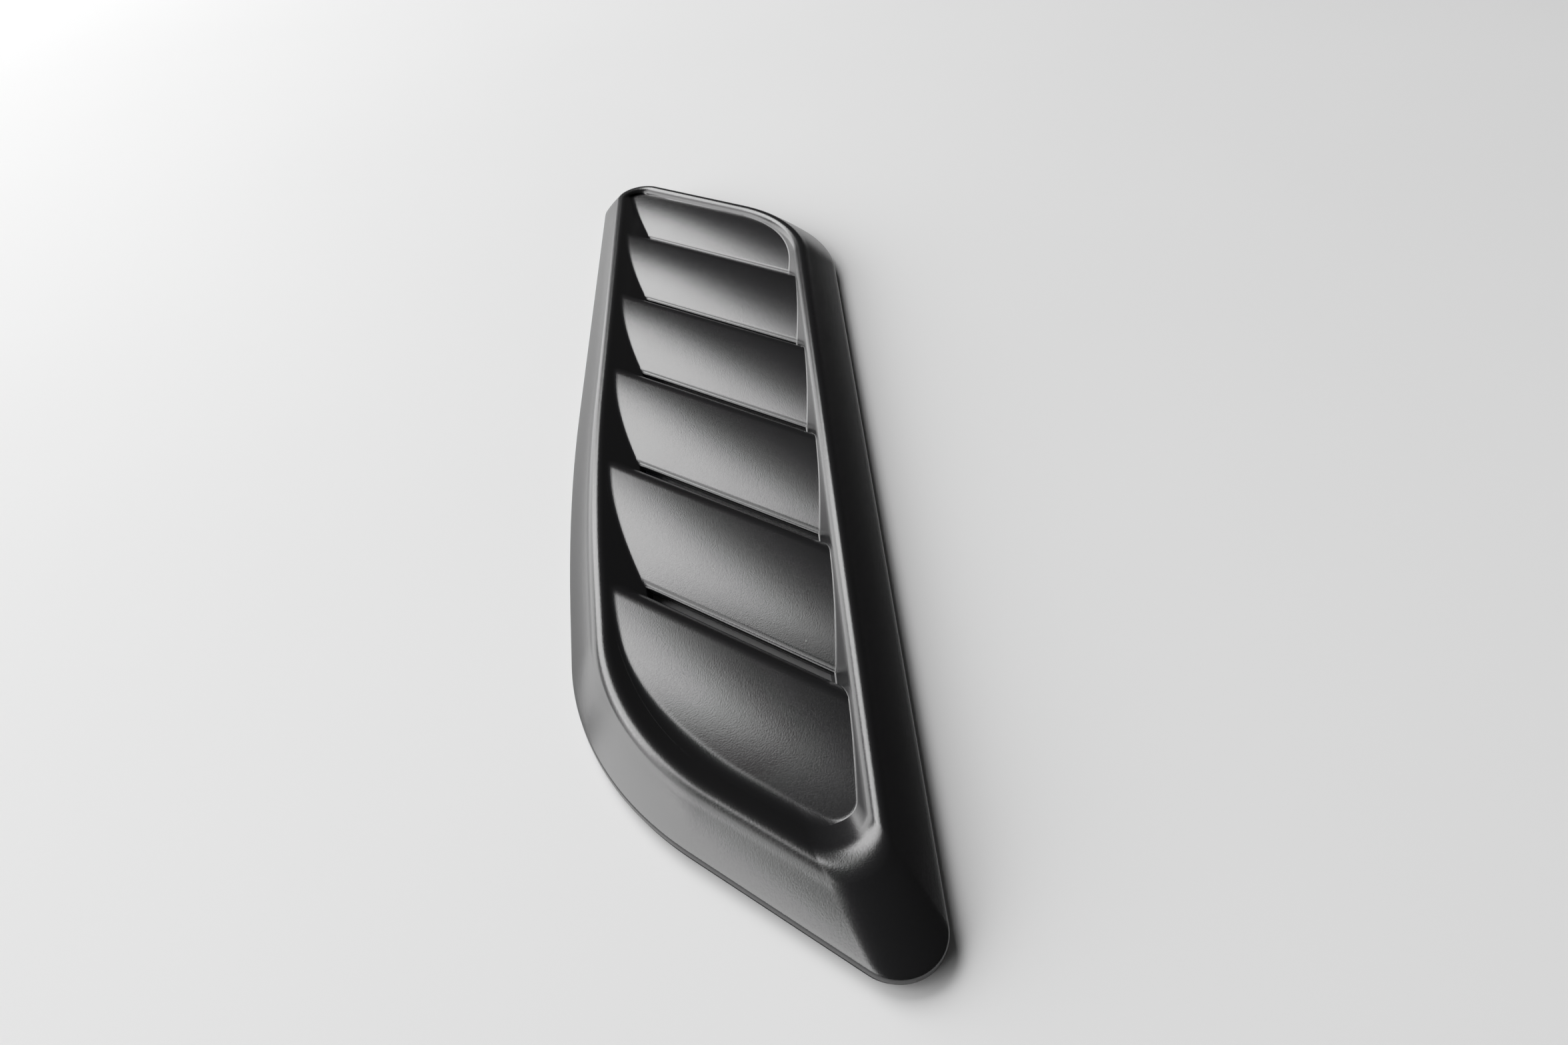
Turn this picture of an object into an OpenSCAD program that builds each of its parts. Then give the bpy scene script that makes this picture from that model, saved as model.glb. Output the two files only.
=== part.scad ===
// Bonnet vent: a louvred moulding, its foam gasket and six fixing studs.
// +X points inboard, +Y to the rear of the car and +Z away from the bonnet.
// The bonnet skin lies in Z = 0. The gasket lies on it, and heights in the moulding are
// measured from the moulding's own underside, on top of the gasket.

/* [Ridge outline, seen from above] */
// Distance from the origin to the ridge along the straight inboard side
inboard_x = 37.6; // [34:0.1:50]
// Distance from the origin to the ridge on the outboard side, level with outboard_y
outboard_x = 40; // [36:0.1:52]
// Where outboard_x is measured
outboard_y = 82; // [40:1:120]
// Distance forward to the corner of the front and inboard sides
front_y = 182.4; // [181:0.1:230]
// Distance rearward to the corner of the rear and inboard sides
rear_y = 143.9; // [140:0.1:180]
// Lean of the outboard side behind its bend, in degrees
rear_lean = 1.1; // [0:0.1:2]
// Lean of the outboard side ahead of its bend, in degrees
front_lean = 6.7; // [4:0.1:9]
// Distance forward to the bend in the outboard side
bend_y = 29; // [0:1:60]
// Angle of the rear side from square across the vent
rear_angle = 36.1; // [34:0.1:40]
// Angle of the front side from square across the vent
front_angle = 39.3; // [34:0.1:42]
// Corner radius between the front and inboard sides
front_tip_r = 9; // [7:0.5:12]
// Corner radius between the inboard and rear sides
rear_inboard_r = 58; // [40:1:70]
// Corner radius between the rear and outboard sides
rear_outboard_r = 11; // [9:0.5:16]
// Radius of the bend in the outboard side
bend_r = 1000; // [600:10:1100]
// Corner radius between the outboard and front sides
front_outboard_r = 81; // [60:1:90]

/* [Rim] */
// Height of the ridge above the underside of the rim
rim_h = 11.5; // [11:0.1:14]
// Width of the rim's outer face on the inboard side
rim_inboard_w = 13.6; // [11:0.1:18]
// Width of the rim's outer face on the rear side
rim_rear_w = 12; // [10:0.1:16]
// Width of the rim's outer face on the outboard side
rim_outboard_w = 10.2; // [9:0.1:15]
// Width of the rim's outer face on the front side
rim_front_w = 10.9; // [9:0.1:16]
// Angle by which the inboard side of the rim widens to the rear
rim_flare = 0.4; // [0:0.1:0.6]
// Height of the upright edge at the foot of the outer face
edge_h = 1.1; // [0.8:0.1:1.6]
// Wall thickness of the rim, the inner walls and the skirt
wall = 2.2; // [1.8:0.1:2.6]
// Depth of the skirt that drops into the bonnet opening
skirt_h = 6; // [4:0.5:12]

/* [Inner walls] */
// Slope of the inner wall on the inboard side, from level
inboard_slope = 64; // [55:1:75]
// Slope of the inner wall on the rear side, from level
rear_slope = 68; // [60:1:75]
// Slope of the inner wall on the outboard side, from level
outboard_slope = 28; // [26:1:32]
// Slope of the inner wall on the front side, from level
front_slope = 27; // [25:1:32]
// Radius of the hollow where the front panel runs into the front wall
front_fillet_r = 15; // [10:1:18]

/* [Louvres] */
// Number of slits
slit_count = 5; // [3:1:5]
// Distance from crest to crest, measured along the vent
louvre_pitch = 55; // [54:0.1:58]
// Angle of the slats from square across the vent
slat_angle = 36.9; // [35:0.1:39]
// Distance from the origin to the rear-most crest, measured along the vent
first_crest_y = 120.5; // [117:0.1:123]
// Height of the crests above the underside of the rim
crest_h = 9; // [8.8:0.1:9.4]
// Width of the land behind each crest
land_w = 3.1; // [2.4:0.1:3.6]
// Drop of the land across its width
land_drop = 0.6; // [0.2:0.1:1]
// Clear width of each slit, square to the slats
slit_w = 5.8; // [5:0.1:7]
// Drop from each crest to the front edge of the panel behind it
slit_drop = 4.8; // [4.4:0.1:5.2]
// Thickness of the panels
panel_t = 2; // [1.6:0.1:2.4]

/* [Gasket and studs] */
// Thickness of the foam gasket
gasket_t = 2; // [1:0.5:4]
// How far the gasket stays inside the edge of the rim
gasket_inset = 0.6; // [0.3:0.1:1.5]
// Distance from the centre line to each row of studs
stud_x = 37.5; // [36.5:0.1:38.5]
// Distance from the origin to the four middle studs, along the vent
stud_y = 50; // [40:1:55]
// Distance from the origin to the two end studs, along the vent
end_stud_y = 172; // [165:1:173]
// Diameter of the studs
stud_d = 5; // [4:0.5:5]
// Free length of the studs below the gasket
stud_free_l = 13; // [8:1:20]
// Diameter of the shank that each stud has in its boss
shank_d = 6; // [5.8:0.1:6.4]
// Depth of the shanks in their bosses
stud_grip = 5; // [3:0.5:5]
// Diameter of the bosses
boss_d = 8.4; // [7.8:0.1:8.4]
// Spacing of the ribs under the rim
rib_pitch = 24; // [16:1:40]

/* [Hidden] */
$fn = 48;

// Sides in order round the vent: inboard, rear, outboard rear, outboard front, front
SIDES = 5;
CORNER_STEPS = [10, 9, 8, 5, 12];
rim_w = [rim_inboard_w, rim_rear_w, rim_outboard_w, rim_outboard_w, rim_front_w];
wall_slope = [inboard_slope, rear_slope, outboard_slope, outboard_slope, front_slope];

// The ridge is rounded over these widths, outside and inside, down to its shoulders
out_shoulder_w = 2.2;
out_shoulder_drop = 1.2;
in_shoulder_w = [2.9, 2.4, 2.2, 2.2, 2.4];
in_shoulder_drop = 2.1;
shoulder_z = rim_h - in_shoulder_drop;
// Bulge of the outer face above a straight slope, and where that slope ends at the rim's edge
crown = 0.5;
face_foot_z = edge_h + 0.8;
// The inner walls end in a narrow toe above the skirt
toe_z = crest_h - slit_drop - 0.1;
toe_w = [1.2, 0.8, 1.4, 1.4, 3];
seat_w = 3.2;

function unit(a) = [cos(a), sin(a)];
function turn(a, b) = a[0] * b[1] - a[1] * b[0];
function lerp(a, b, t) = a + (b - a) * t;
function meet(p, a, q, b) = p + unit(a) * turn(q - p, unit(b)) / turn(unit(a), unit(b));

// Direction of travel and a point of each side, going round with the vent on the left
bend_x = -outboard_x + (outboard_y + bend_y) * tan(rear_lean);
function side_dir(i, flare) =
    [90 - flare, 180 - rear_angle, rear_lean - 90, front_lean - 90, -front_angle][i];
side_at = [[inboard_x, 0], [inboard_x, rear_y], [-outboard_x, outboard_y],
           [bend_x, -bend_y], [inboard_x, -front_y]];
function side_from(i, off, flare) = side_at[i] + off * unit(side_dir(i, flare) - 90);
function corner(i, off, flare) =
    let (j = (i + SIDES - 1) % SIDES)
    meet(side_from(j, off[j], flare), side_dir(j, flare),
         side_from(i, off[i], flare), side_dir(i, flare));

// One ring round the vent: each side moved out by off and held at height z, corners rounded
function ring(off, z, r, flare = 0) = [
    for (i = [0 : SIDES - 1])
        let (j = (i + SIDES - 1) % SIDES,
             a = side_dir(j, flare), b = side_dir(i, flare),
             sweep = (b - a + 540) % 360 - 180,
             c = corner(i, off, flare)
                 + (unit(b) - unit(a)) * r[i] / sin(sweep))
        for (k = [0 : CORNER_STEPS[i]])
            let (t = k / CORNER_STEPS[i],
                 p = c + r[i] * unit(a - 90 + sweep * t))
            [p[0], p[1], lerp(z[j], z[i], t)]];

// How far the inner wall of side i has come in from the ridge at height z
function wall_run(i, z) = in_shoulder_w[i] + (shoulder_z - z) / tan(wall_slope[i]);

// The hollow at the front: its lowest line, and the points of its arc
hollow_in = 12.4;
hollow_from = hollow_in - front_fillet_r * sin(front_slope);
hollow_z = shoulder_z - (hollow_from - in_shoulder_w[4]) * tan(front_slope)
           - front_fillet_r * (1 - cos(front_slope));
function hollow(t) =
    let (a = front_slope * (1 - t))
    [-hollow_in + front_fillet_r * sin(a), hollow_z + front_fillet_r * (1 - cos(a))];

// The rear side has a shelf in place of a wall, as [in, down] from its shoulder: the rear panel
// runs out under it
rear_shelf = [[0.2, 0.25], [0.5, 0.42], [0.9, 0.53], [1.6, 0.61], [2.8, 0.68], [4.8, 0.82], [6, 1.6]];

// Visible inner wall of each side from the shoulder to the tip of its toe, as [out, height]
function inner_face(i) = i == 4
    ? concat([for (t = [0 : 0.25 : 1]) hollow(t)],
             [[-hollow_in - toe_w[4], hollow_z - 0.3], [-hollow_in - toe_w[4] - 1, hollow_z - 1.6]])
    : i == 1
    ? [for (p = rear_shelf) [-in_shoulder_w[1] - p[0], shoulder_z - p[1]]]
    : concat([for (t = [0.2 : 0.2 : 1])
                 let (z = lerp(shoulder_z, toe_z + 0.3, t)) [-wall_run(i, z), z]],
             [[-wall_run(i, toe_z) - 0.5, toe_z], [-wall_run(i, toe_z) - toe_w[i], toe_z - 0.4]]);
function toe_tip(i) = inner_face(i)[6];

// Visible outer face of each side, from the rim's edge to the ridge
function face_z(q) = lerp(rim_h - out_shoulder_drop, face_foot_z, q) + 4 * crown * q * (1 - q);
function outer_face(i) = concat(
    [[rim_w[i], 0], [rim_w[i], edge_h]],
    [for (q = [0.965, 0.88, 0.6, 0.3, 0])
        [lerp(out_shoulder_w, rim_w[i], q), face_z(q)]],
    [[out_shoulder_w / 2, rim_h - 0.3]]);

// Ridge down to the inner shoulder
function ridge_round(i) = [
    [0, rim_h], [-0.38 * in_shoulder_w[i], rim_h - 0.25],
    [-0.72 * in_shoulder_w[i], rim_h - 0.95], [-in_shoulder_w[i], shoulder_z]];

// Skirt and hidden underside of each side, back to the seat at the foot of the rim
function under_face(i) =
    let (tip = toe_tip(i), mid = inner_face(i)[2])
    [[tip[0], -skirt_h], [tip[0] + wall, -skirt_h],
     [tip[0] + wall, tip[1] - wall],
     [mid[0] + 0.7 * wall, mid[1] - wall],
     [-0.4 * in_shoulder_w[i], shoulder_z - 0.8 * wall],
     [0, rim_h - 1.15 * wall],
     [0.4 * out_shoulder_w, rim_h - 1.25 * wall],
     [lerp(out_shoulder_w, rim_w[i], 0.5) - 0.6 * wall, face_z(0.5) - wall],
     [rim_w[i] - seat_w, 0]];

function section(i) = concat(outer_face(i), ridge_round(i), inner_face(i), under_face(i));

// Radius of each corner for a ring that lies off from the ridge. The two tight corners stay
// at least this round inside.
tip_min_r = 7.5;
rear_corner_min_r = 5;
function ring_r(off) = [
    off[0] > 0 ? front_tip_r + off[0] * 0.15 : max(tip_min_r, front_tip_r + off[0] * 0.3),
    rear_inboard_r + off[1],
    max(rear_corner_min_r, rear_outboard_r + off[2] * 0.8),
    bend_r,
    front_outboard_r + off[4]];

// Closed solid through a list of rings, joined end to end or capped
function band(n, a, b) = [
    for (k = [0 : n - 1])
        let (m = (k + 1) % n)
        each [[a * n + k, b * n + m, a * n + m], [a * n + k, b * n + k, b * n + m]]];

module ring_solid(sections, closed) {
    stages = len(sections[0]);
    rings = [for (s = [0 : stages - 1])
        let (off = [for (i = [0 : SIDES - 1]) sections[i][s][0]],
             z = [for (i = [0 : SIDES - 1]) sections[i][s][1]],
             flare = rim_flare * max(0, off[0]) / rim_w[0])
        ring(off, z, ring_r(off), flare)];
    n = len(rings[0]);
    sides = [for (s = [0 : stages - 2]) each band(n, s, s + 1)];
    ends = closed
        ? band(n, stages - 1, 0)
        : [[for (k = [0 : n - 1]) k],
           [for (k = [n - 1 : -1 : 0]) (stages - 1) * n + k]];
    polyhedron(points = [for (r = rings) each r], faces = concat(sides, ends), convexity = 8);
}

// Slats run along this direction, and are spaced across it
along = unit(180 - slat_angle);
across = unit(90 - slat_angle);
crest_y = [for (k = [0 : slit_count - 1]) first_crest_y - k * louvre_pitch];

// Where a line parallel to the slats meets the inner walls at height z: [inboard, outboard].
// A panel bites this far into them.
bite = 1;
function walls_at(z) =
    let (h = max(z, toe_z), off = [for (i = [0 : SIDES - 1]) bite - wall_run(i, h)])
    ring(off, [0, 0, 0, 0, 0], ring_r(off));
function ends_at(s, z) =
    let (w = walls_at(z), n = len(w),
         hits = [for (k = [0 : n - 1])
             let (p = [w[k][0], w[k][1]], m = (k + 1) % n, q = [w[m][0], w[m][1]],
                  dp = p * across - s, dq = q * across - s)
             if (dp * dq <= 0 && dp != dq) lerp(p * along, q * along, dp / (dp - dq))])
    [min(hits), max(hits)];

// Section of a panel, as [distance behind its crest, height]: an arc that is level at the crest
panel_run = louvre_pitch * cos(slat_angle) - land_w - slit_w;
panel_r = (panel_run * panel_run + slit_drop * slit_drop) / (2 * slit_drop);
edge_a = asin((panel_run - panel_t / 2) / panel_r);
ARC_STEPS = 9;
EDGE_STEPS = 4;
function on_arc(r, a) = [-r * sin(a), crest_h - panel_r + r * cos(a)];
function arc_at(r, from, to) = [for (k = [0 : ARC_STEPS]) on_arc(r, lerp(from, to, k / ARC_STEPS))];
land = [[land_w, crest_h - land_drop], [land_w, crest_h - land_drop - panel_t]];
function round_edge(a) = [for (k = [1 : EDGE_STEPS - 1])
    on_arc(panel_r - panel_t / 2, a) + panel_t / 2 * unit(270 + a - 180 * k / EDGE_STEPS)];

// Rear panel starts under the rear shelf, front panel runs on until it is in the front hollow
rear_end_d = 9.4;
front_end_d = 30;
rear_end_a = asin(rear_end_d / panel_r);
front_end_a = asin(front_end_d / panel_r);
function panel_section(first, last) =
    let (from = last ? front_end_a : edge_a, to = first ? rear_end_a : 0)
    concat(arc_at(panel_r, from, to), first ? [] : land,
           arc_at(panel_r - panel_t, to, from), last ? [] : round_edge(from));

// Height of a panel's upper face at distance d behind its crest
function top_z(d) = d > 0 ? lerp(crest_h, crest_h - land_drop, d / land_w)
                          : crest_h - panel_r + sqrt(panel_r * panel_r - d * d);

// One panel: its section drawn out between the inner walls
module panel(y, first, last) {
    sec = panel_section(first, last);
    n = len(sec);
    s0 = y * across[1];
    reach = [for (p = sec) ends_at(s0 + p[0], top_z(p[0]))];
    pts = [for (e = [0, 1]) for (k = [0 : n - 1])
        let (q = (s0 + sec[k][0]) * across + reach[k][e] * along) [q[0], q[1], sec[k][1]]];
    strips = [for (k = [0 : n - 1]) let (m = (k + 1) % n) [n + k, n + m, m, k]];
    polyhedron(points = pts,
               faces = concat(strips, fan(n), [for (t = fan(n)) [n, n, n] + [t[2], t[1], t[0]]]),
               convexity = 6);
}

// Triangles across a section whose points run out along the top and back along the bottom
function fan(n) = concat(
    [for (k = [0 : floor((n - 1) / 2) - 1]) [k, k + 1, n - 1 - k]],
    [for (k = [0 : floor(n / 2) - 2]) [k + 1, n - 2 - k, n - 1 - k]]);

module panels() {
    panel(first_crest_y + louvre_pitch, true, false);
    for (k = [0 : slit_count - 1]) panel(crest_y[k], false, k == slit_count - 1);
}

// What fills the hollow of the rim from height foot up, rooted in the walls round it
rib_root = 0.6;
function hollow_fill(i, foot) =
    let (under = under_face(i), heel = under[2] + [-rib_root, rib_root])
    concat([[rim_w[i] - seat_w, foot]],
           [for (k = [len(under) - 2 : -1 : 3]) under[k] + [0, rib_root]],
           [heel, [heel[0], foot]]);

// Bosses for the studs, standing down from the rim in its hollow
stud_at = [[stud_x, stud_y], [stud_x, -stud_y], [-stud_x, stud_y], [-stud_x, -stud_y],
           [stud_x, -end_stud_y], [-stud_x, end_stud_y]];
bore_gap = 0.02;

module bosses() {
    intersection() {
        for (p = stud_at) translate(p) cylinder(d = boss_d, h = rim_h);
        ring_solid([for (i = [0 : SIDES - 1]) hollow_fill(i, -skirt_h)], true);
    }
}

module stud_bores() {
    for (p = stud_at)
        translate([p[0], p[1], -1]) cylinder(d = shank_d + 2 * bore_gap, h = stud_grip + 1);
}

// Cross ribs in the hollow of the rim, along both long sides
rib_t = 1.4;
rib_foot_z = 0.8;
rib_end_y = [84, 156];
function rib_ys(from, to) = [for (k = [ceil(from / rib_pitch - 0.5) : floor(to / rib_pitch - 0.5)])
    (k + 0.5) * rib_pitch];

module rib(i, y) {
    d = (y - side_at[i][1]) / sin(side_dir(i, 0));
    translate(side_at[i] + d * unit(side_dir(i, 0))) rotate([90, 0, side_dir(i, 0) - 90])
        translate([0, 0, -rib_t / 2])
            linear_extrude(height = rib_t) polygon(hollow_fill(i, rib_foot_z));
}

module ribs() {
    for (y = rib_ys(-rib_end_y[1], rib_end_y[0] + rib_pitch)) rib(0, y);
    for (y = rib_ys(-bend_y, rib_end_y[1])) rib(2, y);
    for (y = rib_ys(-rib_end_y[0], -bend_y - rib_t)) rib(3, y);
}

module louvre_moulding() {
    color([0.03, 0.03, 0.033]) translate([0, 0, gasket_t]) difference() {
        union() {
            ring_solid([for (i = [0 : SIDES - 1]) section(i)], true);
            panels();
            bosses();
            ribs();
        }
        stud_bores();
    }
}

// Flat gasket: inside the rim's edge, outside the skirt, with a hole round each stud's collar
collar_d = boss_d - 0.8;
collar_gap = 0.3;
skirt_gap = 0.3;
gasket_reach = -7;
stud_tip = 0.7;
module foam_gasket() {
    edge = [for (i = [0 : SIDES - 1]) rim_w[i] - gasket_inset];
    inner = [for (i = [0 : SIDES - 1]) max(toe_tip(i)[0] + wall + skirt_gap, gasket_reach)];
    flat = [0, 0, 0, 0, 0];
    color([0.05, 0.05, 0.05]) linear_extrude(height = gasket_t)
        difference() {
            polygon([for (p = ring(edge, flat, ring_r(edge), rim_flare)) [p[0], p[1]]]);
            polygon([for (p = ring(inner, flat, ring_r(inner))) [p[0], p[1]]]);
            for (p = stud_at) translate(p) circle(d = collar_d + 2 * collar_gap);
        }
}

module stud() {
    translate([0, 0, -stud_free_l]) cylinder(d1 = stud_d - 2 * stud_tip, d2 = stud_d, h = stud_tip);
    translate([0, 0, stud_tip - stud_free_l]) cylinder(d = stud_d, h = stud_free_l - stud_tip);
    cylinder(d = collar_d, h = gasket_t);
    translate([0, 0, gasket_t]) cylinder(d = shank_d, h = stud_grip);
}

module fixing_studs() {
    color([0.55, 0.55, 0.57]) for (p = stud_at) translate(p) stud();
}

louvre_moulding();
foam_gasket();
fixing_studs();
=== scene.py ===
"""Dresses the bonnet vent: a finer moulding over the CAD frame, studs, foam, light and camera."""

import math

import bmesh
import bpy
from mathutils import Matrix, Vector
from mathutils.bvhtree import BVHTree


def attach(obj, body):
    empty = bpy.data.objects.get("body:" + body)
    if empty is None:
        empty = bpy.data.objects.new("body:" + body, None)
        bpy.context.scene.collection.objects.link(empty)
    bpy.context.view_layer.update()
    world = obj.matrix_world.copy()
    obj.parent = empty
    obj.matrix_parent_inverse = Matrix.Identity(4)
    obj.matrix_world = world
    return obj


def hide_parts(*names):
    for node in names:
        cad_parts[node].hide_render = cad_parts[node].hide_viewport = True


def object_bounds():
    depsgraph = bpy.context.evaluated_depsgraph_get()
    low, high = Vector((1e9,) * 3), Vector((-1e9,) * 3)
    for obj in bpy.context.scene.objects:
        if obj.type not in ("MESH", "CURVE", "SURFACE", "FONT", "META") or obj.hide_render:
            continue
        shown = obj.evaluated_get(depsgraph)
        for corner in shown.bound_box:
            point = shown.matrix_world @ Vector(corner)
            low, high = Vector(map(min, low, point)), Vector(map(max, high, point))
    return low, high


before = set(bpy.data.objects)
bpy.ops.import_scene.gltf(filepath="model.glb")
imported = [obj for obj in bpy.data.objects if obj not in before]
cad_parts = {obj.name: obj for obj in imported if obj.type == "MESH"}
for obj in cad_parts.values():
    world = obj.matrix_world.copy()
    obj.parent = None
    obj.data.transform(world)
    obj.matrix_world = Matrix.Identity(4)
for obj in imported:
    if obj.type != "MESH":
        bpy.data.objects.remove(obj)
cad_low, cad_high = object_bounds()

# Lengths below are in millimetres, as in the part's source, and angles in degrees
MM = 0.001

# Outline that every ring round the vent is set out from
INBOARD_X = 37.6
OUTBOARD_X = 40.0
OUTBOARD_Y = 82.0
FRONT_Y = 182.4
REAR_Y = 143.9
REAR_LEAN = 1.1
FRONT_LEAN = 6.7
BEND_Y = 29.0
REAR_ANGLE = 36.1
FRONT_ANGLE = 39.3
FRONT_TIP_R = 9.0
FRONT_TIP_GROWTH = 0.15
FRONT_TIP_SHRINK = 0.3
FRONT_TIP_MIN_R = 7.5
REAR_INBOARD_R = 58.0
REAR_OUTBOARD_R = 8.0
BEND_R = 1000.0
FRONT_OUTBOARD_R = 81.0
REAR_CORNER_GROWTH = 1.1
REAR_CORNER_SHRINK = 1.5
REAR_CORNER_MIN_R = 1.0

# Rim, with sides in order: inboard, rear, outboard rear, outboard front, front. RIDGE_LINE is
# where face and wall would meet, out from the outline; the ridge's arc rounds that corner.
SIDES = 5
RIM_W = [13.6, 12.0, 10.2, 10.2, 10.9]
RIM_FLARE = 0.4
EDGE_R = 0.35
EDGE_BEND = 0.1
WALL = 2.2
SKIRT_H = 6.0
RIDGE_LINE = [-1.2, -0.9, 0.8, 0.5, -1.3]
IN_SHOULDER_W = [2.9, 2.4, 2.2, 2.2, 2.4]
SHOULDER_Z = 9.4
CROWN = [0.5, 0.5, 0.5, 0.5, 0.6]
FACE_FOOT_Z = 2.3
FOOT_R = 1.0
RIDGE_R = [3.7, 3.7, 3.8, 4.6, 6.3]
SEAT_W = 3.2
CORNER_STEPS = [22, 24, 20, 10, 30]
FOOT_STEPS = 5
FACE_STEPS = 12
RIDGE_STEPS = 14
WALL_STEPS = 6

# Inner walls, which pass SHOULDER_Z at IN_SHOULDER_W inside the outline, and louvres
WALL_SLOPE = [64.0, 68.0, 28.0, 28.5, 31.0]
TOE_Z = 4.1
TOE_IN = [6.7, 8.4, 13.6, 13.6, 16.4]
TOE_DROP = 2.0
LEDGE_W = 0.35
LEDGE_FORM = [(LEDGE_W - 0.15, 0.12), (0.0, 0.2), (-0.15, 0.4)]
SLIT_COUNT = 5
PITCH = 55.0
SLAT_ANGLE = 36.9
FIRST_CREST_Y = 120.5
CREST_H = 9.0
LAND_W = 5.2
LAND_DROP = 3.6
SLIT_W = 3.7
SLIT_DROP = 4.8
PANEL_T = 2.0

# Hollow under the rim
SKIRT_BEND = 1.6
HOLLOW_Z = 6.4
HOLLOW_IN = 0.7
HOLLOW_OUT = 0.6
HOLLOW_POINTS = 6
RIB_PITCH = 24.0
RIB_T = 1.4
RIB_ROOT = 0.6
RIB_FOOT_Z = 0.8
RIB_NUMBERS = range(-7, 7)

# Gasket and studs
GASKET_T = 2.0
STUD_X = 37.5
STUD_Y = 50.0
END_STUD_Y = 172.0
STUD_D = 5.0
STUD_FREE_L = 13.0
STUD_GRIP = 5.0
SHANK_D = 6.0
THREAD_PITCH = 0.8
GASKET_INSET = 0.6
SKIRT_GAP = 0.3
GASKET_REACH = -7.0
BOSS_D = 8.4
BOSS_ROOT = 0.4
COLLAR_D = 7.6
COLLAR_GAP = 0.3
BOSS_EASE = 0.3
BOSS_MIN_Z = 1.0
BORE_GAP = 0.02
FOAM_EDGE_R = 0.25
FOAM_EDGE_STEPS = 2
HOLE_STEPS = 40

BEND_X = -OUTBOARD_X + (OUTBOARD_Y + BEND_Y) * math.tan(math.radians(REAR_LEAN))
SIDE_AT = [(INBOARD_X, 0.0), (INBOARD_X, REAR_Y), (-OUTBOARD_X, OUTBOARD_Y),
           (BEND_X, -BEND_Y), (INBOARD_X, -FRONT_Y)]
STUD_AT = [(STUD_X, STUD_Y), (STUD_X, -STUD_Y), (-STUD_X, STUD_Y), (-STUD_X, -STUD_Y),
           (STUD_X, -END_STUD_Y), (-STUD_X, END_STUD_Y)]
RIB_SPANS = {0: (-156.0, 108.0), 2: (-BEND_Y, 156.0), 3: (-84.0, -BEND_Y - RIB_T)}


def unit(angle):
    return Vector((math.cos(math.radians(angle)), math.sin(math.radians(angle))))


def lerp(a, b, t):
    return a + (b - a) * t


def smooth(low, high, x):
    """0 below low, 1 above high, with no corner between."""
    t = min(1.0, max(0.0, (x - low) / (high - low)))
    return t * t * (3 - 2 * t)


def soft_max(a, b, k):
    """The higher of a and b, with the corner between them filled over a height of k."""
    h = max(k - abs(a - b), 0.0) / k
    return max(a, b) + h * h * k / 4


# Rings round the vent

def side_dir(i, flare):
    return [90 - flare, 180 - REAR_ANGLE, REAR_LEAN - 90, FRONT_LEAN - 90, -FRONT_ANGLE][i]


def corner(i, off, flare):
    """Where side i meets the side before it, with each side moved out by its off."""
    j = i - 1 if i else SIDES - 1
    p = Vector(SIDE_AT[j]) + off[j] * unit(side_dir(j, flare) - 90)
    q = Vector(SIDE_AT[i]) + off[i] * unit(side_dir(i, flare) - 90)
    a, b = unit(side_dir(j, flare)), unit(side_dir(i, flare))
    gap = q - p
    return p + a * (gap.x * b.y - gap.y * b.x) / (a.x * b.y - a.y * b.x)


def tight_radius(r, out, growth, shrink, least):
    """Radius of a tight corner on a ring that lies out from the outline, or inside it."""
    return max(least, r + out * (growth if out > 0 else shrink))


def ring_radii(off):
    tip = tight_radius(FRONT_TIP_R, off[0], FRONT_TIP_GROWTH, FRONT_TIP_SHRINK, FRONT_TIP_MIN_R)
    rear = tight_radius(REAR_OUTBOARD_R, off[2], REAR_CORNER_GROWTH, REAR_CORNER_SHRINK,
                        REAR_CORNER_MIN_R)
    return [tip, REAR_INBOARD_R + off[1], rear, BEND_R, FRONT_OUTBOARD_R + off[4]]


def ring(off, z, steps=CORNER_STEPS):
    """Points round the vent, with side i moved out by off[i] and held at height z[i]."""
    flare = RIM_FLARE * max(0.0, off[0]) / RIM_W[0]
    radii = ring_radii(off)
    points = []
    for i in range(SIDES):
        j = i - 1 if i else SIDES - 1
        a, b = side_dir(j, flare), side_dir(i, flare)
        sweep = (b - a + 540) % 360 - 180
        back = (unit(b) - unit(a)) * radii[i] / math.sin(math.radians(sweep))
        centre = corner(i, off, flare) + back
        for k in range(steps[i] + 1):
            t = k / steps[i]
            p = centre + radii[i] * unit(a - 90 + sweep * t)
            points.append(Vector((p.x, p.y, lerp(z[j], z[i], t))))
    return points


# Section of the rim

def wall_run(i, z):
    """How far inside the outline the inner wall of side i lies at height z."""
    return IN_SHOULDER_W[i] + (SHOULDER_Z - z) / math.tan(math.radians(WALL_SLOPE[i]))


def face_z(i, q):
    """Height of the crowned outer face of side i, from where it would meet the wall to its foot."""
    top = SHOULDER_Z + (RIDGE_LINE[i] + IN_SHOULDER_W[i]) * math.tan(math.radians(WALL_SLOPE[i]))
    return lerp(top, FACE_FOOT_Z, q) + 4 * CROWN[i] * q * (1 - q)


def face_fall(i, q):
    """Slope of the outer face of side i, in degrees down from level."""
    rise = FACE_FOOT_Z - face_z(i, 0) + 4 * CROWN[i] * (1 - 2 * q)
    return -math.degrees(math.atan(rise / (RIM_W[i] - RIDGE_LINE[i])))


def tangent_arc(corner_at, angle_a, angle_b, r, steps):
    """An arc that rounds a corner, from its outward normal at angle_a to the one at angle_b."""
    half = math.radians(angle_b - angle_a) / 2
    centre = Vector(corner_at) - unit((angle_a + angle_b) / 2) * r / math.cos(half)
    return [centre + r * unit(lerp(angle_a, angle_b, k / steps)) for k in range(steps + 1)]


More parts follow.
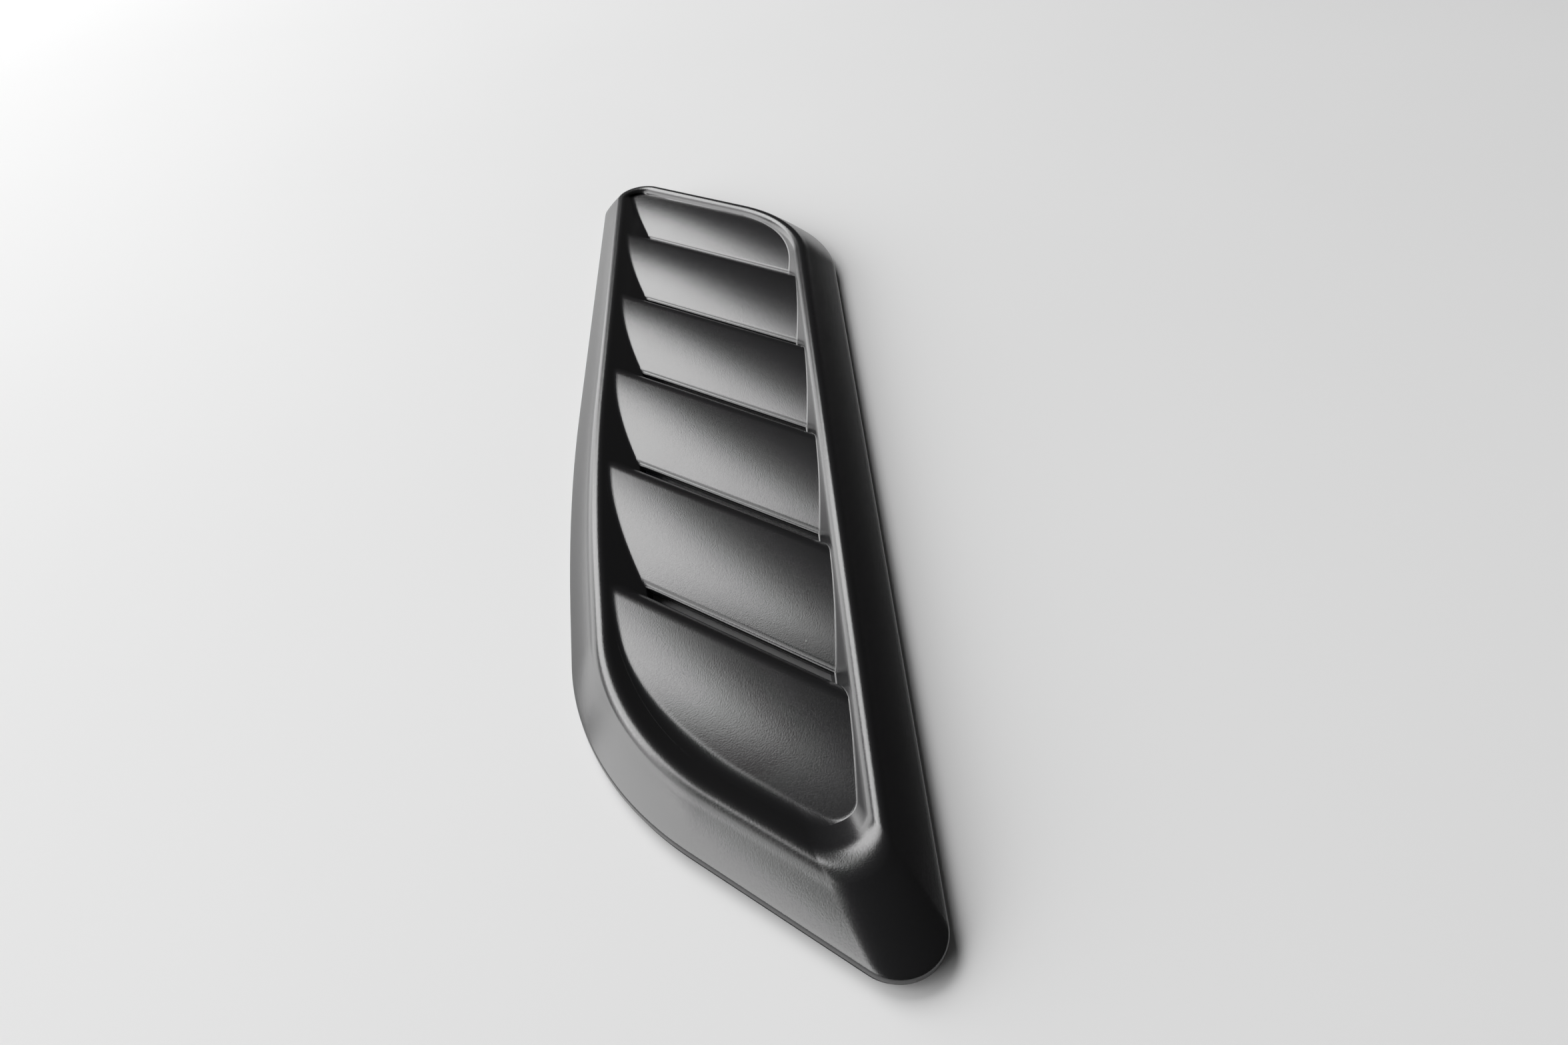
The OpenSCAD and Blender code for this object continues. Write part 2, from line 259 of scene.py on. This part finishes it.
def rim_section(i):
    """Closed section of side i as (out, height), from the edge over the ridge to the hollow."""
    w, top_x = RIM_W[i], RIDGE_LINE[i]
    edge = [(w - SEAT_W, 0.0), (w - EDGE_R, 0.0), (w - EDGE_BEND, EDGE_BEND), (w, EDGE_R)]
    foot = tangent_arc((w, FACE_FOOT_Z), 0, 90 - face_fall(i, 1), FOOT_R, FOOT_STEPS)
    first, last = 90 - face_fall(i, 0), 90 + WALL_SLOPE[i]
    ridge = tangent_arc((top_x, face_z(i, 0)), first, last, RIDGE_R[i], RIDGE_STEPS)
    face_x = [lerp(foot[-1].x, ridge[0].x, k / FACE_STEPS) for k in range(1, FACE_STEPS)]
    face = [(x, face_z(i, (x - top_x) / (w - top_x))) for x in face_x]
    wall_z = [lerp(ridge[-1].y, TOE_Z, k / WALL_STEPS) for k in range(1, WALL_STEPS + 1)]
    wall = [(-wall_run(i, z), z) for z in wall_z]
    ledge = -wall_run(i, TOE_Z) - LEDGE_W
    toe = [(ledge + out, TOE_Z - drop) for out, drop in LEDGE_FORM]
    skirt = [(-TOE_IN[i], TOE_Z - TOE_DROP), (-TOE_IN[i], -SKIRT_H), (-TOE_IN[i] + WALL, -SKIRT_H)]
    hollow = [(-TOE_IN[i] + WALL, TOE_Z - SKIRT_BEND - WALL),
              (-wall_run(i, HOLLOW_Z) + HOLLOW_IN * WALL, HOLLOW_Z - WALL),
              ridge[-1] - WALL * unit(last),
              ridge[RIDGE_STEPS // 2] - WALL * unit((first + last) / 2),
              ridge[0] - WALL * unit(first),
              (lerp(top_x, w, 0.5) - HOLLOW_OUT * WALL, face_z(i, 0.5) - WALL)]
    return [Vector(p) for p in edge + foot + face + ridge + wall + toe + skirt + hollow]


# Meshes, smooth up to the angle of a crease

SHELL_CREASE = 38.0
SLAT_CREASE = 30.0
THREAD_CREASE = 50.0


def add_strips(bm, rows, closed_rows, closed_across):
    """Quads between rows of points of equal length."""
    verts = [[bm.verts.new(p) for p in row] for row in rows]
    count, length = len(rows), len(rows[0])
    for r in range(count if closed_across else count - 1):
        a, b = verts[r], verts[(r + 1) % count]
        for k in range(length if closed_rows else length - 1):
            m = (k + 1) % length
            bm.faces.new((a[k], a[m], b[m], b[k]))
    return verts


def finish_mesh(bm, name, crease):
    """Turns a mesh in millimetres above the gasket into an object in the part's frame and box."""
    bmesh.ops.recalc_face_normals(bm, faces=bm.faces)
    for v in bm.verts:
        p = Vector((v.co.x, v.co.y, v.co.z + GASKET_T)) * MM
        v.co = Vector(min(max(p[n], cad_low[n]), cad_high[n]) for n in range(3))
    for face in bm.faces:
        face.smooth = True
    for edge in bm.edges:
        edge.smooth = edge.calc_face_angle(0.0) < math.radians(crease)
    mesh = bpy.data.meshes.new(name)
    bm.to_mesh(mesh)
    bm.free()
    obj = bpy.data.objects.new(name, mesh)
    bpy.context.scene.collection.objects.link(obj)
    return obj


def rim_rows():
    sections = [rim_section(i) for i in range(SIDES)]
    return [ring([s[n].x for s in sections], [s[n].y for s in sections])
            for n in range(len(sections[0]))]


def rim_mesh():
    bm = bmesh.new()
    add_strips(bm, rim_rows(), True, True)
    return bm


RIM_SURFACE = BVHTree.FromBMesh(rim_mesh())


def rim_object():
    return finish_mesh(rim_mesh(), "rim_shell", SHELL_CREASE)


# Where the inner walls are

GUIDE_STEPS = [60, 60, 50, 20, 80]
GUIDE_Z = (14.0, 12.0, 10.0, 8.0, 6.0, 4.0, 2.5, 1.2)
ABOVE = 30.0
OPEN_Z = -20.0
OUTSIDE_Z = 16.0
SIDE_FILL = 0.45
FRONT_FILL = 2.4
FRONT_FACING = (8, 44)
INBOARD_FACING = (62, 120)


def wall_ring(z):
    return ring([-wall_run(i, z) for i in range(SIDES)], [z] * SIDES, GUIDE_STEPS)


def wall_guide():
    """A surface of the inner walls alone, drawn on above the ridge and below the slats."""
    rows = [wall_ring(z) for z in GUIDE_Z]
    length = len(rows[0])
    faces = []
    for r in range(len(rows) - 1):
        upper, lower = r * length, (r + 1) * length
        for k in range(length):
            m = (k + 1) % length
            faces.append((upper + k, upper + m, lower + m, lower + k))
    return BVHTree.FromPolygons([p for row in rows for p in row], faces)


GUIDE = wall_guide()
OPENING = wall_ring(GUIDE_Z[-1])


def in_opening(x, y):
    """Whether a place is inside the foot of the inner walls, by crossings of its outline."""
    inside = False
    for p, q in zip(OPENING, OPENING[1:] + OPENING[:1]):
        if (p.y > y) != (q.y > y) and x < lerp(p.x, q.x, (y - p.y) / (q.y - p.y)):
            inside = not inside
    return inside


def wall_at(x, y):
    """Height of the inner wall at a place, and how far a slat's face is filled up to it there."""
    spot, normal, _, _ = GUIDE.ray_cast(Vector((x, y, ABOVE)), Vector((0, 0, -1)))
    if spot is None:
        return (OPEN_Z if in_opening(x, y) else OUTSIDE_Z), SIDE_FILL
    if normal.z < 0:
        normal = -normal
    facing = math.degrees(math.atan2(normal.y, normal.x))
    front = smooth(*FRONT_FACING, facing) * (1 - smooth(*INBOARD_FACING, facing))
    return spot.z, lerp(SIDE_FILL, FRONT_FILL, front)


# Slats

ALONG = unit(180 - SLAT_ANGLE)
ACROSS = unit(90 - SLAT_ANGLE)
PANEL_RUN = PITCH * math.cos(math.radians(SLAT_ANGLE)) - LAND_W - SLIT_W
PANEL_R = (PANEL_RUN ** 2 + SLIT_DROP ** 2) / (2 * SLIT_DROP)
REAR_RUN = 3.0
FRONT_RUN = 44.0
FRONT_EDGE_R = 0.85
FRONT_EDGE_STEPS = 4
FRONT_FOOT = [(0.3, 0.0), (0.08, 0.1), (0.0, 0.35)]
PARTING_AT = 0.62
PARTING_LINE = [(0.0, -0.12), (0.06, 0.0), (0.0, 0.12)]
LAND_EDGE_R = 0.35
LAND_EDGE_STEPS = 3
LAND_LINEAR = 0.35
CREST_SOFT = 0.4

# Spacing of a slat's rows: fine near the crest and where the first and last slats meet the walls
FIRST_GAP = 0.35
LAST_GAP = 0.5
LEAST_STEP = 0.1
FINE_STEP = 0.3
COARSE_STEP = 0.8
UNDER_STRIDE = 6
UNDER_FRONT = 0.4
UNDER_REAR = 0.2
CREST_REACH = 2.4
REAR_REACH = -9.0
FRONT_REACH = -20.0


def arc_z(d):
    return CREST_H - PANEL_R + math.sqrt(PANEL_R ** 2 - d * d)


def top_z(d):
    """Height of a slat's upper face at distance d behind its crest: arc, crest, curved land."""
    q = d / LAND_W
    drop = LAND_DROP * (LAND_LINEAR * q + (1 - LAND_LINEAR) * max(0.0, q) ** 2)
    return -soft_max(-arc_z(d), drop - CREST_H, CREST_SOFT)


def quarter(steps):
    """Cosine and sine of angles from 0 to 90 degrees."""
    angles = [math.radians(90.0 * k / steps) for k in range(steps + 1)]
    return [(math.cos(a), math.sin(a)) for a in angles]


def front_edge(start):
    """Rows up a slat's front edge: eased foot, parting line, rounded top."""
    z = top_z(start)
    mid = z - PARTING_AT * PANEL_T
    return ([(start + d, z - PANEL_T + up, False) for d, up in FRONT_FOOT]
            + [(start + d, mid + up, False) for d, up in PARTING_LINE]
            + [(start + FRONT_EDGE_R * (1 - cos), z - FRONT_EDGE_R * (1 - sin), True)
               for cos, sin in quarter(FRONT_EDGE_STEPS)])


def land_edge(end):
    """Rows round the rear edge of a slat's land and down it."""
    z = top_z(LAND_W)
    return ([(end + LAND_EDGE_R * sin, z - LAND_EDGE_R * (1 - cos), False)
             for cos, sin in quarter(LAND_EDGE_STEPS)[1:]]
            + [(LAND_W, z - PANEL_T, False)])


def slat_section(first, last):
    """Rows of a slat's closed section as (distance behind the crest, height, follows the walls)."""
    start = -FRONT_RUN if last else -PANEL_RUN
    end = -REAR_RUN if first else LAND_W - LAND_EDGE_R
    rows = [] if last else front_edge(start)
    d = start + (LAST_GAP if last else FRONT_EDGE_R + FIRST_GAP)
    while d < end - LEAST_STEP:
        rows.append((d, top_z(d), True))
        near_end = (first and d > REAR_REACH) or (last and d < FRONT_REACH)
        d += FINE_STEP if abs(d) < CREST_REACH or near_end else COARSE_STEP
    rows.append((end, top_z(end), True))
    if not first:
        rows += land_edge(end)
    low_d = [row[0] for row in rows if row[2]][::-UNDER_STRIDE]
    return rows + [(d, top_z(d) - PANEL_T, False)
                   for d in low_d if start + UNDER_FRONT < d < LAND_W - UNDER_REAR]


SEARCH_REACH = 160
SEARCH_STEP = 1.5
BISECTIONS = 14
LEAST_DEPTH = 0.02


def row_ends(s, z):
    """Where a row at distance s across the vent runs into the walls, as distances along it."""
    def over(t):
        p = s * ACROSS + t * ALONG
        wall, fill = wall_at(p.x, p.y)
        return wall - z - fill

    span = [-SEARCH_REACH + SEARCH_STEP * n for n in range(int(2 * SEARCH_REACH / SEARCH_STEP) + 1)]
    heights = [over(t) for t in span]
    low = min(range(len(span)), key=lambda n: heights[n])
    if heights[low] > -LEAST_DEPTH:
        return None
    ends = []
    for step in (-1, 1):
        n = low
        while 0 <= n + step < len(span) and heights[n + step] < 0:
            n += step
        a, b = span[n], span[n] + SEARCH_STEP * step
        for _ in range(BISECTIONS):
            m = (a + b) / 2
            a, b = (m, b) if over(m) < 0 else (a, m)
        ends.append(a)
    return ends


NEAR_END = [0, 0.12, 0.26, 0.42, 0.6, 0.82, 1.1, 1.5, 2.1, 3.0, 4.4, 6.4]
NEAR_SHARE = 2.4
MIDDLE_STEPS = 26
TUCK = 0.5


def stations(t0, t1):
    """Places along a row, close together where it meets the walls."""
    scale = min(1.0, (t1 - t0) / (NEAR_SHARE * NEAR_END[-1]))
    near = [n * scale for n in NEAR_END]
    a, b = t0 + near[-1], t1 - near[-1]
    return ([t0 + n for n in near] + [lerp(a, b, k / MIDDLE_STEPS) for k in range(1, MIDDLE_STEPS)]
            + [t1 - n for n in reversed(near)])


def slat_object(number, crest_y, first, last):
    """One slat: rows run to the walls, with the face filled up to them but no higher than that."""
    s0 = crest_y * ACROSS.y
    rows = []
    known = {}
    for d, z, follows in slat_section(first, last):
        key = round(d, 1)
        if follows or key not in known:
            known[key] = row_ends(s0 + d, top_z(d))
        ends = known[key]
        if ends is None:
            continue
        row = []
        for t in stations(*ends):
            p = (s0 + d) * ACROSS + t * ALONG
            height = z
            if follows:
                wall, fill = wall_at(p.x, p.y)
                height = min(soft_max(z, wall, fill), z + (SIDE_FILL if first else fill))
            row.append(Vector((p.x, p.y, height)))
        outward = Vector((ALONG.x, ALONG.y, 0)) * TUCK
        down = Vector((0, 0, -2 * TUCK))
        rows.append([row[0] - outward + down] + row + [row[-1] + outward + down])
    bm = bmesh.new()
    verts = add_strips(bm, rows, False, True)
    for end in (0, -1):
        bm.faces.new([row[end] for row in verts])
    return finish_mesh(bm, f"slat_{number}", SLAT_CREASE)


def slat_objects():
    made = [slat_object(1, FIRST_CREST_Y + PITCH, True, False)]
    for k in range(SLIT_COUNT):
        made.append(slat_object(k + 2, FIRST_CREST_Y - k * PITCH, False, k == SLIT_COUNT - 1))
    return made


# Ribs and bosses in the hollow of the rim

def add_prism(bm, outline, matrix, length):
    """An outline in X and Z, drawn out along Y and put in place."""
    ends = [[bm.verts.new(matrix @ Vector((p[0], y, p[1]))) for p in outline]
            for y in (-length / 2, length / 2)]
    bm.faces.new(ends[0])
    bm.faces.new(ends[1][::-1])
    for k in range(len(outline)):
        m = (k + 1) % len(outline)
        bm.faces.new((ends[0][k], ends[0][m], ends[1][m], ends[1][k]))


def add_rib(bm, i, y):
    """A rib across the hollow of side i, rooted a little into its roof."""
    roof = rim_section(i)[-HOLLOW_POINTS:]
    heel = roof[0] + Vector((-RIB_ROOT, RIB_ROOT))
    outline = [heel] + [p + Vector((0, RIB_ROOT)) for p in roof[1:]]
    outline += [(RIM_W[i] - SEAT_W, RIB_FOOT_Z), (heel.x, RIB_FOOT_Z)]
    x, y0 = SIDE_AT[i]
    reach = (y - y0) / math.sin(math.radians(side_dir(i, 0)))
    at = Vector((x, y0)) + reach * unit(side_dir(i, 0))
    turn = Matrix.Rotation(math.radians(side_dir(i, 0) - 90), 4, "Z")
    add_prism(bm, outline, Matrix.Translation((at.x, at.y, 0)) @ turn, RIB_T)


def circle(steps):
    return [unit(360 * k / steps) for k in range(steps)]


def turned_rows(x, y, shape, turn):
    return [[Vector((x + r * u.x, y + r * u.y, z)) for u in turn] for r, z in shape]


def add_capped(bm, rows):
    """Closed rows joined by quads, with a face over the first and the last."""
    verts = add_strips(bm, rows, True, False)
    bm.faces.new(verts[0])
    bm.faces.new(verts[-1])


def add_turned(bm, x, y, shape, around):
    """A solid turned about an upright axis at x, y, from its section as (radius, height)."""
    add_capped(bm, turned_rows(x, y, shape, circle(around)))


def under_rim(x, y):
    """Height of the hollow's roof at a place."""
    spot = RIM_SURFACE.ray_cast(Vector((x, y, -SKIRT_H / 2)), Vector((0, 0, 1)))[0]
    return spot.z if spot else 0.0


BOSS_AROUND = 36


def add_boss(bm, x, y):
    """A boss for a stud, grown down from the roof of the hollow, with eased edges."""
    bore, r = SHANK_D / 2 + BORE_GAP, BOSS_D / 2
    shape = [(bore, STUD_GRIP), (bore, BOSS_EASE), (bore + BOSS_EASE, 0.0), (r - BOSS_EASE, 0.0),
             (r, BOSS_EASE)]
    turn = circle(BOSS_AROUND)
    root = []
    for u in turn:
        at_x, at_y = x + r * u.x, y + r * u.y
        root.append(Vector((at_x, at_y, max(under_rim(at_x, at_y), BOSS_MIN_Z) + BOSS_ROOT)))
    add_capped(bm, turned_rows(x, y, shape, turn) + [root])


def ribs_and_bosses():
    bm = bmesh.new()
    for y in [(n + 0.5) * RIB_PITCH for n in RIB_NUMBERS]:
        for i, (low, high) in RIB_SPANS.items():
            if low <= y <= high:
                add_rib(bm, i, y)
    for x, y in STUD_AT:
        add_boss(bm, x, y)
    return finish_mesh(bm, "ribs_and_bosses", SHELL_CREASE)


# Studs with rolled threads

THREAD_AROUND = 28
THREAD_DEPTH = 0.49
THREAD_FORM = [(0.0, 1.0), (0.12, 1.0), (0.44, 0.0), (0.56, 0.0), (0.88, 1.0)]
THREAD_END = 1.2
STUD_TIP_R = 1.75
STUD_TIP_FLAT_R = 0.5
NECK_FORM = [(-0.02, -0.1), (0.15, 0.0)]
COLLAR_EASE = 0.25
COLLAR_AROUND = 40
MERGE = 0.0005


def add_thread(bm, x, y, low, high):
    """One spiral of the thread's form, from low to high, run out to nothing at both ends."""
    last = math.ceil(THREAD_AROUND * ((high - low) / THREAD_PITCH + 1))
    columns = []
    for n in range(last + THREAD_AROUND + 1):
        u = unit(360 * n / THREAD_AROUND)
        column = []
        for part, depth in THREAD_FORM:
            z = min(high, max(low, low + (n / THREAD_AROUND - 1 + part) * THREAD_PITCH))
            tip = lerp(STUD_TIP_R, STUD_D / 2, smooth(low, low + THREAD_END, z))
            neck = 1 - smooth(high - THREAD_END, high, z)
            r = min(tip, STUD_D / 2 - THREAD_DEPTH * (1 - depth) * neck)
            column.append(bm.verts.new((x + r * u.x, y + r * u.y, z)))
        columns.append(column)
    for n in range(last):
        here = columns[n] + [columns[n + THREAD_AROUND][0]]
        there = columns[n + 1] + [columns[n + 1 + THREAD_AROUND][0]]
        for k in range(len(THREAD_FORM)):
            bm.faces.new((here[k], there[k], there[k + 1], here[k + 1]))


def threaded_studs():
    bm = bmesh.new()
    tip, seat, r, collar = -GASKET_T - STUD_FREE_L, -GASKET_T, STUD_D / 2, COLLAR_D / 2
    shape = [(r + out, seat + up) for out, up in NECK_FORM]
    shape += [(collar - COLLAR_EASE, seat), (collar, seat + COLLAR_EASE), (collar, -COLLAR_EASE),
              (collar - COLLAR_EASE, 0.0), (SHANK_D / 2, 0.0), (SHANK_D / 2, STUD_GRIP)]
    for x, y in STUD_AT:
        add_thread(bm, x, y, tip, seat)
        add_turned(bm, x, y, [(STUD_TIP_FLAT_R, tip), (STUD_TIP_R, tip)], THREAD_AROUND)
        add_turned(bm, x, y, shape, COLLAR_AROUND)
    bmesh.ops.remove_doubles(bm, verts=bm.verts, dist=MERGE)
    return finish_mesh(bm, "threaded_studs", THREAD_CREASE)


# Foam gasket, cut from sheet

def add_outline(curve, points):
    outline = curve.splines.new("POLY")
    outline.points.add(len(points) - 1)
    for point, p in zip(outline.points, points):
        point.co = (p[0] * MM, p[1] * MM, 0.0, 1.0)
    outline.use_cyclic_u = True


def gasket_ring():
    """The gasket's sheet: rim outline outside, skirt outline inside, a hole round each collar."""
    curve = bpy.data.curves.new("gasket_outline", "CURVE")
    curve.dimensions = "2D"
    curve.fill_mode = "BOTH"
    curve.bevel_depth = FOAM_EDGE_R * MM
    curve.bevel_resolution = FOAM_EDGE_STEPS
    curve.offset = -FOAM_EDGE_R * MM
    curve.extrude = (GASKET_T / 2 - FOAM_EDGE_R) * MM
    edge = [w - GASKET_INSET for w in RIM_W]
    inner = [max(WALL - t + SKIRT_GAP, GASKET_REACH) for t in TOE_IN]
    add_outline(curve, ring(edge, [0] * SIDES))
    add_outline(curve, ring(inner, [0] * SIDES))
    hole_r = COLLAR_D / 2 + COLLAR_GAP
    for stud in STUD_AT:
        add_outline(curve, [Vector(stud) + hole_r * u for u in circle(HOLE_STEPS)])
    shape = bpy.data.objects.new("gasket_outline", curve)
    bpy.context.scene.collection.objects.link(shape)
    depsgraph = bpy.context.evaluated_depsgraph_get()
    mesh = bpy.data.meshes.new_from_object(shape.evaluated_get(depsgraph))
    bpy.data.objects.remove(shape)
    mesh.transform(Matrix.Translation((0, 0, GASKET_T / 2 * MM)))
    mesh.name = "gasket_ring"
    obj = bpy.data.objects.new("gasket_ring", mesh)
    bpy.context.scene.collection.objects.link(obj)
    return obj


# Materials, with sizes in metres

PLASTIC_BLACK = (0.0105, 0.0105, 0.0112)
DUST_GREY = (0.13, 0.125, 0.115)
# The first foam colour is painted shade inside the bubble pits; the second is the cell walls
# between them
FOAM_PIT_SHADE = (0.012, 0.012, 0.013)
FOAM_WALL = (0.03, 0.03, 0.031)
ZINC_COOL = (0.56, 0.56, 0.57)
ZINC_WARM = (0.64, 0.62, 0.58)
FLOOR_GREYS = ((0.86, 0.86, 0.86), (0.88, 0.88, 0.88))

GRAIN_SIZE = 0.00042
FLOW_SIZE = 0.021
DUST_SPACING = 0.0085
DUST_SHARE = 0.14
BUBBLE_SIZE = 0.00045
PLATING_CLOUD = 0.004
PLATING_SHEEN = 0.0006
PLATING_GRAIN = 0.0003
FLOOR_CLOUD = 0.4


class Nodes:
    """A material's node tree, built by short calls."""

    def __init__(self, name):
        self.material = bpy.data.materials.new(name)
        self.material.use_nodes = True
        self.tree = self.material.node_tree
        self.shader = self.tree.nodes["Principled BSDF"]
        self.place = self.add("ShaderNodeTexCoord").outputs["Object"]

    def add(self, kind, **values):
        node = self.tree.nodes.new(kind)
        for name, value in values.items():
            setattr(node, name, value)
        return node

    def link(self, source, target):
        self.tree.links.new(source, target)

    def fix(self, name, value):
        self.shader.inputs[name].default_value = value

    def noise(self, size, detail=3.0, roughness=0.5):
        """Noise whose features are about size metres wide."""
        node = self.add("ShaderNodeTexNoise")
        self.link(self.place, node.inputs["Vector"])
        node.inputs["Scale"].default_value = 1 / size
        node.inputs["Detail"].default_value = detail
        node.inputs["Roughness"].default_value = roughness
        return node.outputs["Fac"]

    def cells(self, size):
        """Cells about size metres wide, each with its own colour."""
        node = self.add("ShaderNodeTexVoronoi")
        self.link(self.place, node.inputs["Vector"])
        node.inputs["Scale"].default_value = 1 / size
        return node

    def ramp(self, source, low, high, value_low, value_high):
        """source mapped so that low and high become value_low and value_high."""
        node = self.add("ShaderNodeMapRange")
        self.link(source, node.inputs["Value"])
        for name, value in (("From Min", low), ("From Max", high),
                            ("To Min", value_low), ("To Max", value_high)):
            node.inputs[name].default_value = value
        return node.outputs["Result"]

    def combine(self, operation, a, b):
        node = self.add("ShaderNodeMath", operation=operation)
        for socket, value in zip(node.inputs, (a, b)):
            if isinstance(value, (int, float)):
                socket.default_value = value
            else:
                self.link(value, socket)
        return node.outputs["Value"]

    def colours(self, factor, first, second):
        node = self.add("ShaderNodeMix", data_type="RGBA")
        self.link(factor, node.inputs["Factor"])
        node.inputs["A"].default_value = (*first, 1)
        node.inputs["B"].default_value = (*second, 1)
        self.link(node.outputs["Result"], self.shader.inputs["Base Color"])
        return node

    def bump(self, height, distance, strength=1.0):
        node = self.add("ShaderNodeBump")
        self.link(height, node.inputs["Height"])
        node.inputs["Distance"].default_value = distance
        node.inputs["Strength"].default_value = strength
        self.link(node.outputs["Normal"], self.shader.inputs["Normal"])


def plastic_material():
    """Satin black moulding: fine spark-eroded grain, faint flow marks, a few specks of dust."""
    m = Nodes("satin_black_plastic")
    m.fix("Specular IOR Level", 1.0)
    grain = m.noise(GRAIN_SIZE, 2.0, 0.6)
    flow = m.noise(FLOW_SIZE, 3.0)
    cells = m.cells(DUST_SPACING)
    near = m.ramp(cells.outputs["Distance"], 0.018, 0.026, 1.0, 0.0)
    pick = m.add("ShaderNodeSeparateColor")
    m.link(cells.outputs["Color"], pick.inputs["Color"])
    chosen = m.combine("GREATER_THAN", pick.outputs["Red"], 1 - DUST_SHARE)
    m.colours(m.combine("MULTIPLY", near, chosen), PLASTIC_BLACK, DUST_GREY)
    rough = m.combine("ADD", m.ramp(flow, 0.3, 0.7, 0.215, 0.23),
                      m.ramp(grain, 0.3, 0.7, -0.025, 0.025))
    m.link(rough, m.shader.inputs["Roughness"])
    m.bump(grain, 0.00004, 0.5)
    return m.material


def foam_material():
    """Black closed-cell foam: small open bubbles where the sheet is cut, with painted shade
    darkening each bubble pit, matt all over.
    """
    m = Nodes("closed_cell_foam")
    m.fix("Roughness", 0.9)
    m.fix("Specular IOR Level", 0.25)
    # Painted shade: the colour darkens towards each bubble's middle, where the bump dips, and
    # lightens on the cell walls
    shaded_pit = m.ramp(m.cells(BUBBLE_SIZE).outputs["Distance"], 0.15, 0.6, 0.0, 1.0)
    m.colours(shaded_pit, FOAM_PIT_SHADE, FOAM_WALL)
    m.bump(shaded_pit, 0.00012)
    return m.material


def steel_material():
    """Zinc-plated steel: slightly uneven sheen with a faint warm cast in the plating."""
    m = Nodes("plated_steel")
    m.fix("Metallic", 1.0)
    m.colours(m.ramp(m.noise(PLATING_CLOUD, 4.0), 0.35, 0.65, 0.0, 1.0), ZINC_COOL, ZINC_WARM)
    sheen = m.ramp(m.noise(PLATING_SHEEN), 0.3, 0.7, 0.26, 0.42)
    m.link(sheen, m.shader.inputs["Roughness"])
    m.bump(m.noise(PLATING_GRAIN), 0.00001)
    return m.material


def floor_material():
    """Pale matt grey, very slightly uneven."""
    m = Nodes("studio_floor")
    m.fix("Specular IOR Level", 0.2)
    m.fix("Roughness", 0.7)
    m.colours(m.ramp(m.noise(FLOOR_CLOUD), 0.3, 0.7, 0.0, 1.0), *FLOOR_GREYS)
    return m.material


# The pieces, each on its body and in its node's place

BODY = "root"


def place(pieces, node, material):
    """Gives pieces their material and body, and puts them in the place of a node."""
    for piece in pieces:
        piece.data.materials.append(material)
        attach(piece, BODY)
        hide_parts(node)


place([rim_object(), *slat_objects(), ribs_and_bosses()], "louvre_moulding",
      plastic_material())
place([threaded_studs()], "fixing_studs", steel_material())
place([gasket_ring()], "foam_gasket", foam_material())


# Floor, light and camera, in metres

FLOOR_Z = -0.0002
FLOOR_HALF = 3.0


def floor():
    """A pale plain studio floor, level with the bonnet skin."""
    mesh = bpy.data.meshes.new("floor")
    corners = [(x * FLOOR_HALF, y * FLOOR_HALF, FLOOR_Z)
               for x, y in ((-1, -1), (1, -1), (1, 1), (-1, 1))]
    mesh.from_pydata(corners, [], [(0, 1, 2, 3)])
    obj = bpy.data.objects.new("floor", mesh)
    bpy.context.scene.collection.objects.link(obj)
    mesh.materials.append(floor_material())


LIGHT_DISTANCE = 5.0
ROOM_LIGHT = 0.035

# Name, azimuth from +X, elevation, width, height, power, turn about its middle
SOFTBOXES = [
    ("high_softbox", 123.5, 45, 2.2, 3.0, 114, -27),
    ("high_left_softbox", 171, 51, 3.9, 1.9, 52, 0),
    ("rear_left_softbox", 140, 14, 4.0, 2.5, 95, 0),
    ("left_softbox", 193, 20, 5.3, 3.9, 240, 0),
    ("front_left_softbox", 227, 20, 1.0, 3.9, 23, 0),
]


def softbox(name, azimuth, elevation, width, height, power, turn):
    """A rectangular panel of light that faces the object."""
    level = unit(azimuth) * math.cos(math.radians(elevation))
    away = Vector((level.x, level.y, math.sin(math.radians(elevation))))
    sideways = Vector((-away.y, away.x, 0)).normalized()
    across = Matrix.Rotation(math.radians(turn), 3, away) @ sideways
    light = bpy.data.lights.new(name, "AREA")
    light.shape = "RECTANGLE"
    light.size, light.size_y = width, height
    light.energy = power
    obj = bpy.data.objects.new(name, light)
    axes = Matrix([across, away.cross(across), away]).transposed()
    obj.matrix_world = Matrix.Translation(away * LIGHT_DISTANCE) @ axes.to_4x4()
    bpy.context.scene.collection.objects.link(obj)


def studio():
    """A dim grey room and the softboxes, all on the left."""
    world = bpy.data.worlds.new("studio")
    world.use_nodes = True
    background = world.node_tree.nodes["Background"]
    background.inputs["Color"].default_value = (1.0, 1.0, 1.0, 1)
    background.inputs["Strength"].default_value = ROOM_LIGHT
    bpy.context.scene.world = world
    for box in SOFTBOXES:
        softbox(*box)


LENS = 24.0
SENSOR_W = 36.0
CAMERA_AT = (0.02527, -0.29261, 0.21897)
CAMERA_RIGHT = (0.99561, -0.05286, -0.07721)
CAMERA_DOWN = (-0.09289, -0.65826, -0.74704)
CAMERA_FORWARD = (-0.01134, 0.75093, -0.66028)


def camera():
    """The camera of the photo, as solved from the vent's outline."""
    data = bpy.data.cameras.new("camera")
    data.lens = LENS
    data.sensor_width = SENSOR_W
    obj = bpy.data.objects.new("camera", data)
    up, back = [-v for v in CAMERA_DOWN], [-v for v in CAMERA_FORWARD]
    axes = Matrix([CAMERA_RIGHT, up, back]).transposed()
    obj.matrix_world = Matrix.Translation(CAMERA_AT) @ axes.to_4x4()
    bpy.context.scene.collection.objects.link(obj)
    bpy.context.scene.camera = obj


floor()
studio()
camera()
bpy.context.scene.view_settings.view_transform = "Standard"
